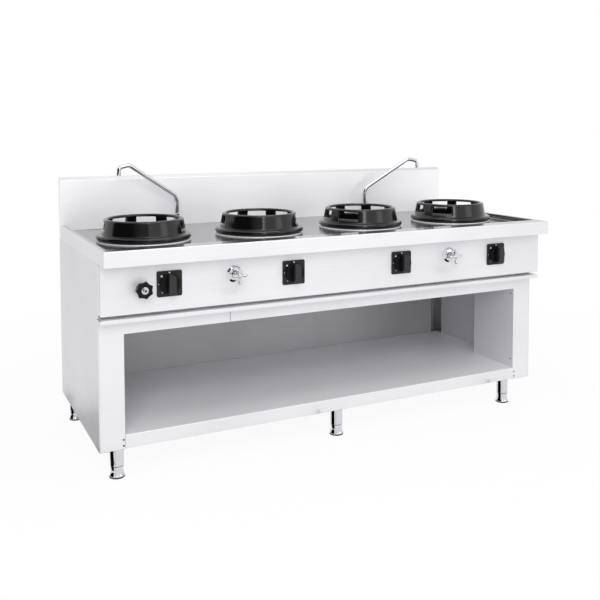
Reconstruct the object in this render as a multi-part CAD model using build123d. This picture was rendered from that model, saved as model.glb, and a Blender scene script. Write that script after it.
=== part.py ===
from build123d import *
import math
import os

# A free-standing gas wok range in folded stainless sheet: four cast-iron wok rings in a sunken pan,
# a splashback with two swivel spouts, a control panel, an open storage base and six screw feet.
# X runs to the right, -Y to the front, +Z up. The origin is on the floor in the middle of the plan.

# Driving dimensions, in millimetres
width = 2000
depth = 870
rim_z = 850  # top of the worktop rim
splash_top = 1058
splash_thickness = 40
splash_bevel = 13
sheet = 2.0
fascia_height = 57
panel_height = 183
panel_setback = 65  # from the worktop's front to the control panel
frame_setback = 50  # from the control panel to the columns
gap_height = 14  # between the control panel and the drip ledge
ledge_lip = 14
opening_top = 529
leg_height = 107
shelf_fascia = 51
column_width = 95
column_depth = 284
floor_drop = 22  # from the rim down to the pan floor
rim_side = 20
rim_front = 70
bend_radius = 4

ring_pitch = 500
ring_y = -36
ring_lip_radius = 188
ring_top_radius = 155
ring_bore_radius = 139
ring_height = 84
ring_lip_height = 24
collar_height = 4
window_angle = 31
window_pitch = 49
window_count = 5
window_turns = (19, 19, -32, -32)  # middle window of each ring, clockwise from the back
pan_hole_radius = 150

control_z = 710
tap_z = 724
service_x = 496  # the taps and the spouts, left and right of the middle
handwheel_x = -853
handwheel_z = 701
plate_side = 94
plate_thickness = 6
knob_radius = 37.5
knob_disc = 16
knob_grip_width = 26
knob_grip_depth = 26
spindle_radius = 6
clearance = 0.3

gas_pipe_radius = 12
gas_thread_radius = 13.22  # R 3/4
gas_collar_radius = 17
water_pipe_radius = 8
water_inlet_radius = 9
water_thread_radius = 10.48  # G 1/2
water_collar_radius = 14
drain_pipe_radius = 20
drain_thread_radius = 20.95  # G 1 1/4
drain_collar_radius = 24
pipe_wall = 3
thread_length = 25
collar_length = 20  # of the collars behind the threads, where a pipe passes the back panel
gas_z = 660
water_z = 770
water_inlet_z = 735
pipe_y = -330
gas_inlet_x = 900
drain_x = -820
drain_outlet_z = 740
first_slot_x = -886
slot_pitch = 12.5
slot_count = 22
strainer_y = 372
chamber_floor_z = 546

spout_y = 336
spout_radius = 9.5
knee_z = 963
spout_turn = 12.4  # how far the arms point to the front of straight sideways
arm_reach = 235
arm_rise = 149
nose_reach = 50
tip_z = 1067

leg_radius = 25.5
foot_height = 42.7
front_leg_y = -295
rear_leg_y = 365
legs = ((-932, front_leg_y), (-16, front_leg_y), (864, front_leg_y),
        (-955, rear_leg_y), (-16, rear_leg_y), (955, rear_leg_y))

# Places worked out from the sizes above
half = width / 2
front = -depth / 2
rear = depth / 2
splash_y = rear - splash_thickness
pan_front = front + rim_front
pan_half = half - rim_side
floor_z = rim_z - floor_drop
fascia_z = rim_z - fascia_height
panel_y = front + panel_setback
panel_z = fascia_z - panel_height
ledge_z = panel_z - gap_height
frame_y = panel_y + frame_setback
column_x = half - column_width
column_y = frame_y + column_depth
rail_top = 640  # the rail goes on up behind the control panel
shelf_z = leg_height + shelf_fascia
back_y = splash_y + sheet
post = 40
pipe_end_y = rear - 7
slot_xs = [first_slot_x + slot_pitch * i for i in range(slot_count)]
strainer_x0 = slot_xs[0] - 14
strainer_x1 = slot_xs[-1] + 14
strainer_y0 = strainer_y - 16
strainer_y1 = strainer_y + 16
ring_xs = [ring_pitch * (i - 1.5) for i in range(4)]
ring_z = floor_z + collar_height
control_xs = ring_xs
sides = {"left": -1, "right": 1}


def block(x0, x1, y0, y1, z0, z1):
    """A box between two corners, in any order."""
    middle = Pos((x0 + x1) / 2, (y0 + y1) / 2, (z0 + z1) / 2)
    return middle * Box(abs(x1 - x0), abs(y1 - y0), abs(z1 - z0))


def upright(radius, x, y, z0, z1):
    """A round bar standing along Z."""
    return Pos(x, y, (z0 + z1) / 2) * Cylinder(radius, z1 - z0)


def lying(radius, x, z, y0, y1):
    """A round bar lying along Y."""
    return Pos(x, (y0 + y1) / 2, z) * Rot(90, 0, 0) * Cylinder(radius, y1 - y0)


def turned(points, rounds=()):
    """Turns a closed outline of (radius, height) points round Z; rounds are (point, fillet radius)."""
    face = make_face(Polyline(*[Vector(r, z) for r, z in points], close=True))
    for point, radius in rounds:
        corner = face.vertices().sort_by_distance(Vector(*points[point]))[0]
        face = fillet(corner, radius)
    return revolve(Plane.XZ * face, Axis.Z)


def facing(solid, x, y, z):
    """Lays a solid turned round Z along -Y, with its zero height at y."""
    return Pos(x, y, z) * Rot(90, 0, 0) * solid


def pipe(points, radii, outer, inner=None):
    """A round pipe or rod along straight runs joined by arcs."""
    path = FilletPolyline(*points, radius=radii) if radii else Polyline(*points)
    start = Plane(origin=path @ 0, z_dir=path % 0)
    solid = sweep(start * Circle(outer), path=path)
    if inner:
        solid -= sweep(start * Circle(inner), path=path)
    return solid


# Cabinet

def worktop():
    """The folded top: flat rims, apron, side skirts and the walls of the sunken pan."""
    top = block(-half, half, front, splash_y, fascia_z, rim_z)
    outer_edges = top.edges().group_by(Axis.Z)[-1].filter_by(lambda e: e.center().Y < splash_y - 1)
    front_corners = top.edges().filter_by(Axis.Z).group_by(Axis.Y)[0]
    top = fillet(outer_edges + front_corners, bend_radius)
    pan = block(-pan_half, pan_half, pan_front, splash_y, floor_z, rim_z + 1)
    pan_shell = block(-pan_half - sheet, pan_half + sheet, pan_front - sheet, splash_y + 1,
                      floor_z - sheet, rim_z + 1)
    under = block(-half + sheet, half - sheet, panel_y - sheet, splash_y + 1, fascia_z - 1, rim_z - sheet)
    under += block(-half + sheet, half - sheet, front + sheet, panel_y, fascia_z + sheet, rim_z - sheet)
    return top - pan - (under - pan_shell) - pan_plate()


def pan_plate():
    """The pan's flat bottom before it is pierced."""
    return block(-pan_half, pan_half, pan_front, splash_y, floor_z - sheet, floor_z)


def pan_floor():
    """The pan's bottom with its ring holes, turret holes and drain slot."""
    floor = pan_plate()
    for x in ring_xs:
        floor -= upright(pan_hole_radius, x, ring_y, floor_z - 5, floor_z + 1)
    for side in sides.values():
        floor -= upright(14, side * service_x, spout_y, floor_z - 5, floor_z + 1)
    edge = 0.5
    floor -= block(strainer_x0 - edge, strainer_x1 + edge, strainer_y0 - edge, strainer_y1 + edge,
                   floor_z - 5, floor_z + 1)
    return floor


def splashback():
    """A hollow folded box with its top front edge bevelled."""
    outer = block(-half, half, splash_y, rear, fascia_z, splash_top)
    bevel_edge = outer.edges().filter_by(Axis.X).group_by(Axis.Z)[-1].sort_by(Axis.Y)[0]
    outer = chamfer(bevel_edge, splash_bevel)
    inner = block(-half + sheet, half - sheet, splash_y + sheet, rear - sheet, fascia_z - 1, splash_top - sheet)
    inner_edge = inner.edges().filter_by(Axis.X).group_by(Axis.Z)[-1].sort_by(Axis.Y)[0]
    inner = chamfer(inner_edge, splash_bevel + (math.sqrt(2) - 2) * sheet)
    return outer - inner


def side_panel(side):
    """A side skin with a turned-in flange at the back."""
    skin = block(side * half, side * (half - sheet), frame_y + sheet, rear, leg_height, fascia_z)
    flange = block(side * half, side * (half - post), rear - sheet, rear, leg_height, fascia_z)
    return skin + flange


def back_panel():
    """The back skin, set in from the rear edge, with holes for the three services."""
    skin = block(-half + sheet, half - sheet, back_y, back_y + sheet, leg_height, floor_z - sheet)
    gap = 3
    skin -= lying(gas_collar_radius + gap, gas_inlet_x, gas_z, back_y - 1, back_y + 5)
    skin -= lying(water_collar_radius + gap, 0, water_inlet_z, back_y - 1, back_y + 5)
    skin -= lying(drain_collar_radius + gap, drain_x, drain_outlet_z, back_y - 1, back_y + 5)
    return skin


def control_panel():
    """The valve panel: front, ends and two flanges in one sheet, pierced for every spindle."""
    panel = block(-half, half, panel_y, frame_y, panel_z, fascia_z)
    panel -= block(-half + sheet, half - sheet, panel_y + sheet, frame_y + 1, panel_z + sheet, fascia_z - sheet)
    panel -= block(-half + sheet, half - sheet, panel_y + 30, frame_y + 1, panel_z - 1, fascia_z + 1)
    for x in control_xs:
        panel -= lying(8, x, control_z, panel_y - 1, panel_y + 5)
    for side in sides.values():
        panel -= lying(13.5, side * service_x, tap_z, panel_y - 1, panel_y + 5)
    panel -= lying(12.5, handwheel_x, handwheel_z, panel_y - 1, panel_y + 5)
    return panel


def front_ledge():
    """The drip ledge under the control panel: a shelf strip, a front lip and two ends."""
    ledge = block(-half, half, panel_y, frame_y, ledge_z - ledge_lip, ledge_z)
    return ledge - block(-half + sheet, half - sheet, panel_y + sheet, frame_y + 1,
                         ledge_z - ledge_lip - 1, ledge_z - sheet)


def top_rail(x0, x1):
    """A stretch of the rail over the opening: face, bottom flange and an upturned back lip."""
    back = frame_y + 60
    rail = block(x0, x1, frame_y, frame_y + sheet, opening_top, rail_top)
    rail += block(x0, x1, frame_y, back, opening_top, opening_top + sheet)
    rail += block(x0, x1, back - sheet, back, opening_top, chamber_floor_z)
    return rail


def front_column(side):
    """A front column: its face, the wall beside the opening, a back return and a foot plate."""
    outside = side * half
    inside = side * column_x
    skin_side = side * (half - sheet)
    column = block(outside, inside, frame_y, frame_y + sheet, leg_height, rail_top)
    column += block(inside, side * (column_x + sheet), frame_y, column_y, leg_height, chamber_floor_z)
    column += block(inside, skin_side, column_y - sheet, column_y, leg_height, chamber_floor_z)
    column += block(inside, skin_side, frame_y, column_y, leg_height, leg_height + sheet)
    return column


def rear_posts():
    """The angle posts in the back corners, standing on the shelf."""
    posts = []
    for side in sides.values():
        outer_x = side * (half - sheet)
        inner_x = side * (half - sheet - post)
        corner = block(outer_x, inner_x, back_y - post, back_y, shelf_z, chamber_floor_z)
        corner -= block(side * (half - sheet - 3), inner_x - side, back_y - post - 1, back_y - 3,
                        shelf_z - 1, chamber_floor_z + 1)
        posts.append(corner)
    return Compound(children=posts)


def floor_plan(z0, z1):
    """A plate between the side skins that goes round the front columns."""
    plate = block(-column_x, column_x, frame_y + sheet, column_y, z0, z1)
    return plate + block(-half + sheet, half - sheet, column_y, back_y, z0, z1)


def base_shelf():
    """The storage shelf: deck, front fascia, back apron, leg flanges and two stiffening channels."""
    shelf = floor_plan(shelf_z - sheet, shelf_z)
    shelf += block(-column_x, column_x, frame_y, frame_y + sheet, leg_height, shelf_z)
    shelf += block(-column_x, column_x, frame_y, frame_y + 80, leg_height, leg_height + sheet)
    shelf += block(-half + sheet, half - sheet, back_y - sheet, back_y, leg_height, shelf_z)
    shelf += block(-half + sheet, half - sheet, back_y - 80, back_y, leg_height, leg_height + sheet)
    for x in (-450, 450):
        channel = block(x - 30, x + 30, frame_y + sheet, back_y - sheet, leg_height + sheet, shelf_z - sheet)
        shelf += channel - block(x - 28, x + 28, frame_y, back_y, leg_height + 2 * sheet, shelf_z)
    return shelf


def chamber_floor():
    """The tray that closes the burner chamber over the storage space."""
    tray = block(-column_x, column_x, frame_y + sheet, column_y, chamber_floor_z, chamber_floor_z + sheet)
    tray += block(-half + sheet, half - sheet, column_y, back_y, chamber_floor_z, chamber_floor_z + sheet)
    for side in sides.values():
        tray += block(side * column_x, side * (half - sheet), frame_y + sheet, column_y,
                      chamber_floor_z, chamber_floor_z + sheet)
    return tray


# Burners

def burner_collars():
    """The stainless collar round each pan hole, folded down on both sides."""
    under = collar_height - sheet
    outline = [(152, 0), (154, 0), (154, under), (184, under), (184, 0), (186, 0), (186, collar_height),
               (152, collar_height)]
    collar = turned(outline, [(6, 1.5)])
    return Compound(children=[Pos(x, ring_y, floor_z) * collar for x in ring_xs])


def wok_ring(window_turn):
    """A cast ring: rounded lip, tapered wall with five windows, rounded top bead."""
    outline = [
        (150, 0), (ring_lip_radius, 0), (ring_lip_radius, ring_lip_height), (168, ring_lip_height),
        (ring_top_radius + 2, ring_height), (ring_bore_radius, ring_height), (146, 30),
    ]
    ring = turned(outline, [(1, 11), (2, 10), (3, 4), (4, 8), (5, 7)])
    reach = 220
    side = reach * math.tan(math.radians(window_angle / 2))
    for i in range(window_count):
        turn = window_turn + (i - (window_count - 1) / 2) * window_pitch
        wedge = Polyline((0, 0), (side, reach), (-side, reach), close=True)
        ring -= Rot(0, 0, -turn) * Pos(0, 0, 41) * extrude(make_face(wedge), 31)
    return ring


def fire_bowl():
    """The fire bowl hung under the pan by its flange, with a round mouth for the burner."""
    outline = [(140, 826), (170, 826), (170, 822), (147, 822), (84, 634), (46, 634), (46, 640), (79, 640), (140, 818)]
    return turned([(r, z - 826) for r, z in outline])


def burner():
    """A jet burner on its stem: foot plate, stem, head with a ring of ports and a side inlet."""
    foot = chamber_floor_z + sheet
    outline = [(0, foot), (45, foot), (45, foot + 6), (22, foot + 6), (22, 668), (60, 676), (60, 700), (40, 712),
               (0, 712)]
    solid = turned(outline)
    solid += lying(12, 0, 590, -40, -15)
    for i in range(16):
        angle = math.radians(360 / 16 * i)
        solid -= upright(2.5, 30 * math.cos(angle), 30 * math.sin(angle), 700, 720)
    return solid


# Gas

def pipe_end(thread_radius, collar_radius, x, z):
    """A pipe's end behind the range: the collar in the back panel's hole, then the threaded stub."""
    thread_y = pipe_end_y - thread_length
    stub = lying(thread_radius, x, z, thread_y, pipe_end_y)
    return stub + lying(collar_radius, x, z, thread_y - collar_length, thread_y)


def gas_manifold():
    """The gas rail behind the panel, with a socket per valve and its inlet through the back."""
    start = handwheel_x - 40
    points = [(start, pipe_y, gas_z), (gas_inlet_x, pipe_y, gas_z), (gas_inlet_x, pipe_end_y, gas_z)]
    rail = pipe(points, [50], gas_pipe_radius)
    for x in [*control_xs, handwheel_x]:
        rail += upright(11, x, pipe_y, gas_z, gas_z + 22)
    rail += pipe_end(gas_thread_radius, gas_collar_radius, gas_inlet_x, gas_z)
    bore_start = (start + 4, pipe_y, gas_z)
    return rail - pipe([bore_start, *points[1:]], [50], gas_pipe_radius - pipe_wall)


def gas_valve():
    """A gas tap: body along Y with a bore for the knob's spindle, a nipple down and an outlet back."""
    valve = lying(18, 0, control_z, -366, -306)
    valve += lying(9, 0, control_z, -306, -296)
    valve += upright(9, 0, pipe_y, gas_z + 22, control_z)
    return valve - lying(spindle_radius + clearance, 0, control_z, -367, -336)


def feed_pipe():
    """The copper pipe from a gas tap down and back to its burner."""
    points = [(0, -296, control_z), (0, -262, control_z), (0, -262, 590), (0, ring_y - 40, 590)]
    return pipe(points, [18, 18], 7)


def pilot_valve():
    """The pilot gas valve: body on the manifold and a bonnet that comes out through the panel."""
    valve = lying(16, 0, handwheel_z, -366, -312)
    valve += lying(12, 0, handwheel_z, -402, -360)
    valve += upright(9, 0, pipe_y, gas_z + 22, handwheel_z)
    return valve - lying(4 + clearance, 0, handwheel_z, -403, -386)


# Controls

def knob_plate():
    """A square black legend plate with rounded corners."""
    plate = Box(plate_side, plate_thickness, plate_side)
    plate = fillet(plate.edges().filter_by(Axis.Y), 8)
    plate = Pos(0, panel_y - plate_thickness / 2, control_z) * plate
    return plate - lying(8, 0, control_z, panel_y - plate_thickness - 1, panel_y + 1)


def knob():
    """A round knob with a thick grip bar and its own spindle."""
    back = panel_y - plate_thickness - clearance
    face = back - knob_disc
    disc = lying(knob_radius, 0, control_z, face, back)
    disc = fillet(disc.edges().group_by(Axis.Y)[0], 3)
    grip_length = 2 * knob_radius - 1
    grip = Box(knob_grip_width, knob_grip_depth + 2, grip_length)
    grip = fillet(grip.edges().filter_by(Axis.Y), 12)
    grip = fillet(grip.edges().group_by(Axis.Y)[0], 3)
    grip = Pos(0, face - knob_grip_depth / 2 + 1, control_z) * grip
    spindle = lying(spindle_radius, 0, control_z, back - 1, -340)
    return disc + grip + spindle


def handwheel():
    """A star handwheel of seven lobes, one pointing left, with a washer, a hub and its spindle."""
    lobes = 7
    tip = 32.5
    valley = 27
    points = []
    for i in range(2 * lobes):
        radius = tip if i % 2 == 0 else valley
        angle = math.radians(180 + 180 / lobes * i)
        points.append((radius * math.cos(angle), radius * math.sin(angle)))
    star = make_face(Polyline(*points, close=True))
    star = fillet(star.vertices().filter_by(lambda v: Vector(v).length > tip - 1), 3)
    wheel = extrude(star, 16)
    wheel = chamfer(wheel.faces().sort_by(Axis.Z)[-1].edges(), 2)
    wheel += Pos(0, 0, 16.5) * Cylinder(13, 3) + Pos(0, 0, 21) * Cylinder(9, 8)
    wheel += Pos(0, 0, -8) * Cylinder(4, 16)
    return facing(wheel, 0, -404, handwheel_z)


def tap_valve():
    """A water tap's fixed half: tapered bonnet, body behind the panel, feed above and outlet behind."""
    bonnet = turned([(0, 0), (12, 0), (8.5, 40), (0, 40)])
    valve = facing(bonnet, 0, panel_y - 2, tap_z)
    valve += lying(13, 0, tap_z, panel_y - 2, -300)
    valve += upright(8, 0, pipe_y, tap_z, tap_z + 22)
    return valve - lying(3 + clearance, 0, tap_z, panel_y - 43, panel_y - 28)


def tap_escutcheons():
    """The domed cover plates round the two tap bonnets."""
    dome = turned([(13.3, 0), (32, 0), (32, 2), (24, 6), (13.3, 8)])
    return Compound(children=[facing(dome, side * service_x, panel_y, tap_z) for side in sides.values()])


def tap_handle():
    """A four-armed cross handle on its spindle."""
    back = panel_y - 42.5
    middle = back - 7
    handle = lying(9, 0, tap_z, back - 14, back)
    handle += lying(3, 0, tap_z, back, panel_y - 30)
    arm = turned([(0, -32), (5, -32), (6.5, -29), (5, -8), (5, 8), (6.5, 29), (5, 32), (0, 32)])
    for tilt in (0, 90):
        handle += Pos(0, middle, tap_z) * Rot(0, tilt, 0) * arm
    return handle


# Water

def water_supply():
    """The cold feed: a bar between the two taps and its inlet through the back."""
    low = tap_z + 22
    bar = [(-service_x, pipe_y, low), (-service_x, pipe_y, water_z), (service_x, pipe_y, water_z),
           (service_x, pipe_y, low)]
    drop_y = -220
    inlet = [(0, pipe_y, water_z), (0, drop_y, water_z), (0, drop_y, water_inlet_z), (0, pipe_end_y, water_inlet_z)]
    feed = pipe(bar, [18, 18], water_pipe_radius) + pipe(inlet, [17, 17], water_inlet_radius)
    return feed + pipe_end(water_thread_radius, water_collar_radius, 0, water_inlet_z)


def spout_pipes():
    """The pipes from the taps back to the spouts' turrets."""
    run = pipe([(0, -300, tap_z), (0, spout_y, tap_z), (0, spout_y, 812)], [30], 7.5)
    return Compound(children=[Pos(side * service_x, 0, 0) * run for side in sides.values()])


def spout_turret():
    """The bored turret that carries a spout, with its tail through the pan floor."""
    outline = [(0, 812), (12, 812), (12, floor_z), (24, floor_z), (24, floor_z + 5), (15, floor_z + 9),
               (15, floor_z + 44), (0, floor_z + 44)]
    turret = turned(outline)
    return turret - upright(spout_radius + clearance, 0, 0, floor_z + 16, floor_z + 45)


def spout(side):
    """A swivel spout: riser in the turret, sloping arm and a short down-turned nose."""
    turn = math.radians(spout_turn)
    out = Vector(side * math.cos(turn), -math.sin(turn), 0)
    apex_z = knee_z + arm_rise
    points = [
        Vector(0, 0, floor_z + 16 + clearance),
        Vector(0, 0, knee_z),
        out * arm_reach + Vector(0, 0, apex_z),
        out * (arm_reach + nose_reach - 3) + Vector(0, 0, apex_z - 10),
        out * (arm_reach + nose_reach) + Vector(0, 0, tip_z),
    ]
    tube = pipe(points, [40, 30, 14], spout_radius, spout_radius - 1.5)
    nut = upright(14, 0, 0, floor_z + 44 + clearance, floor_z + 58)
    nut -= upright(spout_radius - 1, 0, 0, floor_z + 40, floor_z + 60)
    return tube + nut


# Drain

def drain_strainer():
    """The slotted strip that lifts out of the pan floor."""
    strip = block(strainer_x0, strainer_x1, strainer_y0, strainer_y1, floor_z - sheet, floor_z)
    for x in slot_xs:
        strip -= block(x - 3, x + 3, strainer_y0 + 5, strainer_y1 - 5, floor_z - 5, floor_z + 1)
    return strip


def drain_trough():
    """The gutter under the strainer, hung from the pan floor by its flange."""
    edge = 4
    x0 = strainer_x0 + edge
    x1 = strainer_x1 - edge
    y0 = strainer_y0 + edge
    y1 = strainer_y1 - edge
    bottom = 800
    flange_z = floor_z - sheet
    trough = block(x0 - sheet, x1 + sheet, y0 - sheet, y1 + sheet, bottom - sheet, flange_z)
    trough += block(x0 - 12, x1 + 12, y0 - 10, y1 + 10, flange_z - sheet, flange_z)
    trough -= block(x0, x1, y0, y1, bottom, flange_z + 1)
    return trough - upright(11, drain_x, strainer_y, bottom - 5, bottom + 1)


def drain_pipe():
    """The drain from the gutter down and out through the back."""
    y = strainer_y - 8
    points = [(drain_x, y, 798), (drain_x, y, drain_outlet_z), (drain_x, pipe_end_y, drain_outlet_z)]
    drain = pipe(points, [28], drain_pipe_radius)
    drain += pipe_end(drain_thread_radius, drain_collar_radius, drain_x, drain_outlet_z)
    return drain - pipe(points, [28], drain_pipe_radius - pipe_wall)


# Legs and small parts

def leg_tubes():
    """Six chromed leg tubes with a closed top and a bored bottom plug."""
    bottom = foot_height + clearance
    tube = upright(leg_radius, 0, 0, bottom, leg_height)
    tube -= upright(leg_radius - 2, 0, 0, bottom + 6, leg_height - 4)
    tube -= upright(8 + clearance, 0, 0, bottom - 1, bottom + 7)
    return Compound(children=[Pos(x, y, 0) * tube for x, y in legs])


def foot():
    """A bell-shaped screw foot with a rubber-height base ring and its stem."""
    outline = [(0, 0), (28, 0), (28.5, 3), (28.5, 6), (25, 14), (23.5, 24), (23.5, foot_height), (8, foot_height),
               (8, 90), (0, 90)]
    return turned(outline)


def screw_head(radius, height):
    """A low domed screw head standing along +Z."""
    return turned([(0, 0), (radius, 0), (radius, height * 0.4), (radius * 0.6, height), (0, height)])


def panel_screws():
    """The small screws that show: at the ledge's ends, the shelf's joints and beside the opening."""
    heads = []
    ledge_head = screw_head(3.5, 2)
    for side in sides.values():
        for z in (ledge_z + 4, ledge_z + 10):
            heads.append(facing(ledge_head, side * (half - 12), frame_y, z))
        for z in (leg_height + 12, leg_height + 34):
            heads.append(facing(ledge_head, side * (column_x + 7), frame_y, z))
        for z in (197, 505):
            turned_in = Pos(side * column_x, frame_y + 20, z) * Rot(0, -90 * side, 0)
            heads.append(turned_in * screw_head(3.5, 2))
    return Compound(children=heads)


def at_rings(solid):
    """One copy of a solid at each ring's X."""
    return Compound(children=[Pos(x, 0, 0) * solid for x in ring_xs])


def all_nodes():
    """Every sub-part by its node name."""
    seam_x = -495
    nodes = {
        "worktop": worktop(),
        "pan_floor": pan_floor(),
        "splashback": splashback(),
        "back_panel": back_panel(),
        "control_panel": control_panel(),
        "front_ledge": front_ledge(),
        "top_rail_left": top_rail(-column_x, seam_x - 0.3),
        "top_rail_right": top_rail(seam_x + 0.3, column_x),
        "base_shelf": base_shelf(),
        "rear_posts": rear_posts(),
        "chamber_floor": chamber_floor(),
        "burner_collars": burner_collars(),
        "gas_manifold": gas_manifold(),
        "gas_valves": at_rings(gas_valve()),
        "burner_feed_pipes": at_rings(feed_pipe()),
        "knob_plates": at_rings(knob_plate()),
        "pilot_valve": Pos(handwheel_x, 0, 0) * pilot_valve(),
        "handwheel": Pos(handwheel_x, 0, 0) * handwheel(),
        "tap_escutcheons": tap_escutcheons(),
        "water_supply": water_supply(),
        "spout_pipes": spout_pipes(),
        "drain_strainer": drain_strainer(),
        "drain_trough": drain_trough(),
        "drain_pipe": drain_pipe(),
        "leg_tubes": leg_tubes(),
        "panel_screws": panel_screws(),
    }
    for name, side in sides.items():
        nodes[f"{name}_side_panel"] = side_panel(side)
        nodes[f"{name}_front_column"] = front_column(side)
        nodes[f"tap_valve_{name}"] = Pos(side * service_x, 0, 0) * tap_valve()
        nodes[f"tap_handle_{name}"] = Pos(side * service_x, 0, 0) * tap_handle()
        nodes[f"spout_turret_{name}"] = Pos(side * service_x, spout_y, 0) * spout_turret()
        nodes[f"spout_{name}"] = Pos(side * service_x, spout_y, 0) * spout(side)
    bowl = fire_bowl()
    burner_solid = burner()
    knob_solid = knob()
    for i, x in enumerate(ring_xs):
        nodes[f"wok_ring_{i + 1}"] = Pos(x, ring_y, ring_z) * wok_ring(window_turns[i])
        nodes[f"fire_bowl_{i + 1}"] = Pos(x, ring_y, floor_z - sheet) * bowl
        nodes[f"burner_{i + 1}"] = Pos(x, ring_y, 0) * burner_solid
        nodes[f"knob_{i + 1}"] = Pos(x, 0, 0) * knob_solid
    foot_solid = foot()
    for i, (x, y) in enumerate(legs):
        nodes[f"foot_{i + 1}"] = Pos(x, y, 0) * foot_solid
    return nodes


os.makedirs("parts", exist_ok=True)
for node, shape in all_nodes().items():
    export_step(shape, f"parts/{node}.step")
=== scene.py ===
import math
import bpy
import bmesh
from mathutils import Matrix, Vector


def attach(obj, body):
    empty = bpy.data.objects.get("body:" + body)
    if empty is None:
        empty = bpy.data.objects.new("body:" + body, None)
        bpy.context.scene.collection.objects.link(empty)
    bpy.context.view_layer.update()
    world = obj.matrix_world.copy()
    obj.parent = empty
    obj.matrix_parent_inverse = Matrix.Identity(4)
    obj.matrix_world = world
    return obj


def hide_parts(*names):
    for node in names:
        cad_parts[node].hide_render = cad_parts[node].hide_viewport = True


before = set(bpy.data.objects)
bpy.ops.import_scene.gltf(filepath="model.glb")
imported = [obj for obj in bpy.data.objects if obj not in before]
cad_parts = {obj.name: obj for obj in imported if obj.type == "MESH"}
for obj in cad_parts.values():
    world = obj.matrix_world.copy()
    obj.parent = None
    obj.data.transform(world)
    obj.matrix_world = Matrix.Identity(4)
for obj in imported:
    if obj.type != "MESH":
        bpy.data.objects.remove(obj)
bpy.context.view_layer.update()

# Four-ring wok range in folded stainless sheet. Lengths in the dictionaries are in millimetres, in the
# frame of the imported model: X to the right, -Y to the front, Z up, floor at 0.
scene = bpy.context.scene
mm = 0.001
ringX = (-750, -250, 250, 750)
ringY = -36
outletX = 496  # taps and spouts, left and right
panelFront = -370  # face of the control panel, over the drip ledge's lip
stockSheet = 2  # every folded part is made of it
sides = {"left": -1, "right": 1}


def toLinear(hexColour):
    # sRGB hex to the linear colour that the shaders take
    channels = [int(hexColour[i:i + 2], 16) / 255 for i in (1, 3, 5)]
    return [c / 12.92 if c <= 0.04045 else ((c + 0.055) / 1.055) ** 2.4 for c in channels] + [1.0]


def addNode(tree, kind, settings=None, links=None):
    # settings go to sockets by number or name, and else to the node itself; links are socket: source
    node = tree.nodes.new("ShaderNode" + kind)
    for key, value in (settings or {}).items():
        if isinstance(key, int) or key in node.inputs:
            node.inputs[key].default_value = value
        else:
            setattr(node, key, value)
    for key, source in (links or {}).items():
        tree.links.new(source, node.inputs[key])
    return node


def addObject(name, data):
    added = bpy.data.objects.new(name, data)
    scene.collection.objects.link(added)
    return added


# Camera, fitted to the corners of the worktop, the panels and the feet in the photograph.
camera = {
    "target": (-37.4, 0, 1064.5),
    "azimuth": -26.335,
    "elevation": 3.379,
    "roll": -0.082,
    "distance": 3509.2,
    "lens": 47.718,
    "shiftDown": 0.2083,  # the photograph's eye level is above its middle
}


def placeCamera(c):
    az, el, roll = (math.radians(c[k]) for k in ("azimuth", "elevation", "roll"))
    back = Vector((math.sin(az) * math.cos(el), -math.cos(az) * math.cos(el), math.sin(el)))
    level = (-back).cross(Vector((0, 0, 1))).normalized()
    up = level.cross(-back)
    right = level * math.cos(roll) + up * math.sin(roll)
    tilted = up * math.cos(roll) - level * math.sin(roll)
    lens = bpy.data.cameras.new("photoCamera")
    lens.lens = c["lens"]
    lens.shift_y = -c["shiftDown"]
    eye = addObject("photoCamera", lens)
    turn = Matrix((right, tilted, back)).transposed().to_4x4()
    eye.matrix_world = Matrix.Translation((Vector(c["target"]) + back * c["distance"]) * mm) @ turn
    scene.camera = eye


placeCamera(camera)
scene.view_settings.view_transform = "Standard"
print("camera placed")

# White studio with three soft boxes.
studio = {
    "worldLight": 0.7,  # light on the object from all round
    "aim": (0, 0, 600),
    "boxes": {  # place, power in watts and side
        "keyBox": ((3000, -4300, 1900), 10, 1800),
        "fillBox": ((-2000, -4200, 3000), 104, 2600),
        "topBox": ((0, -700, 2500), 10, 1400),  # over the front edge, for the splashback
    },
}


def rayMask(tree):
    # 1 for the rays that should meet the white surroundings
    path = addNode(tree, "LightPath")
    seen = addNode(tree, "Math", {"operation": "MAXIMUM"},
                   {0: path.outputs["Is Camera Ray"], 1: path.outputs["Is Glossy Ray"]})
    seen = addNode(tree, "Math", {"operation": "MAXIMUM"},
                   {0: seen.outputs[0], 1: path.outputs["Is Transmission Ray"]})
    return seen.outputs[0]


def makeWorld(s):
    world = bpy.data.worlds.new("studio")
    scene.world = world
    world.use_nodes = True
    tree = world.node_tree
    tree.nodes.clear()
    soft = addNode(tree, "Background", {"Color": toLinear("#FFFFFF"), "Strength": s["worldLight"]})
    white = addNode(tree, "Background", {"Color": toLinear("#FFFFFF"), "Strength": 1.0})
    mix = addNode(tree, "MixShader", None, {0: rayMask(tree), 1: soft.outputs[0], 2: white.outputs[0]})
    addNode(tree, "OutputWorld", None, {"Surface": mix.outputs[0]})


def softBox(name, spot, power, size, aim):
    lamp = bpy.data.lights.new(name, "AREA")
    lamp.energy = power
    lamp.size = size * mm
    box = addObject(name, lamp)
    box.location = Vector(spot) * mm
    box.rotation_euler = (Vector(aim) * mm - box.location).to_track_quat("-Z", "Y").to_euler()


makeWorld(studio)
for boxName, boxValues in studio["boxes"].items():
    softBox(boxName, *boxValues, studio["aim"])
print("studio lit")


def newMaterial(name, values=None):
    material = bpy.data.materials.new(name)
    material.use_nodes = True
    tree = material.node_tree
    tree.nodes.clear()
    skin = addNode(tree, "BsdfPrincipled", values)
    addNode(tree, "OutputMaterial", None, {"Surface": skin.outputs[0]})
    return material, tree, skin


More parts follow.
